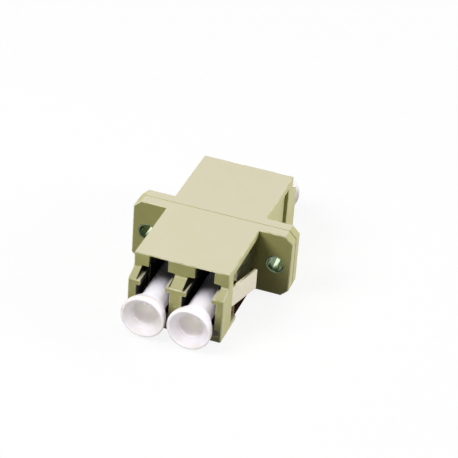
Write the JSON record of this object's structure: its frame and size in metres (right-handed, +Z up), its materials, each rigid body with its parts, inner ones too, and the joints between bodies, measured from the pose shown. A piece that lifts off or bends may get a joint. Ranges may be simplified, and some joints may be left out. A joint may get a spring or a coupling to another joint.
{
  "type": "duplex lc fibre adapter",
  "caption": "Flanged duplex LC fibre adapter with a spring panel clip, metal screw bushes and pull-off dust caps, for joining plugs from both sides of a panel.",
  "frame": {"origin": "under the middle of the flange, at its seam, on the plane that the adapter rests on", "axes": "+Y along the plugs from the clip side to the rear, +Z up from the flat base to the latch side, +X along the flange"},
  "size_m": [0.0222, 0.0364, 0.0093],
  "materials": {
    "housing": "satin moulded thermoplastic, beige",
    "clip": "bright rolled spring steel",
    "holder": "satin moulded thermoplastic, beige",
    "sleeve": "polished white ceramic",
    "bush": "drawn tube, bright",
    "cap": "soft moulded polyethylene, white"
  },
  "bodies": {
    "adapter": {"front_housing": "housing", "rear_housing": "housing", "panel_clip": "clip", "front_sleeve_holder": "holder", "rear_sleeve_holder": "holder", "left_alignment_sleeve": "sleeve", "right_alignment_sleeve": "sleeve", "left_screw_bush": "bush", "right_screw_bush": "bush"},
    "front_left_cap_body": {"front_left_cap": "cap"},
    "front_right_cap_body": {"front_right_cap": "cap"},
    "rear_left_cap_body": {"rear_left_cap": "cap"},
    "rear_right_cap_body": {"rear_right_cap": "cap"}
  },
  "joints": [
    {"name": "front_left_cap_pull", "type": "slide", "parent": "adapter", "child": "front_left_cap_body", "axis": [0, -1, 0], "range_m": [0, 0.015]},
    {"name": "front_right_cap_pull", "type": "slide", "parent": "adapter", "child": "front_right_cap_body", "axis": [0, -1, 0], "range_m": [0, 0.015]},
    {"name": "rear_left_cap_pull", "type": "slide", "parent": "adapter", "child": "rear_left_cap_body", "axis": [0, 1, 0], "range_m": [0, 0.015]},
    {"name": "rear_right_cap_pull", "type": "slide", "parent": "adapter", "child": "rear_right_cap_body", "axis": [0, 1, 0], "range_m": [0, 0.015]}
  ]
}
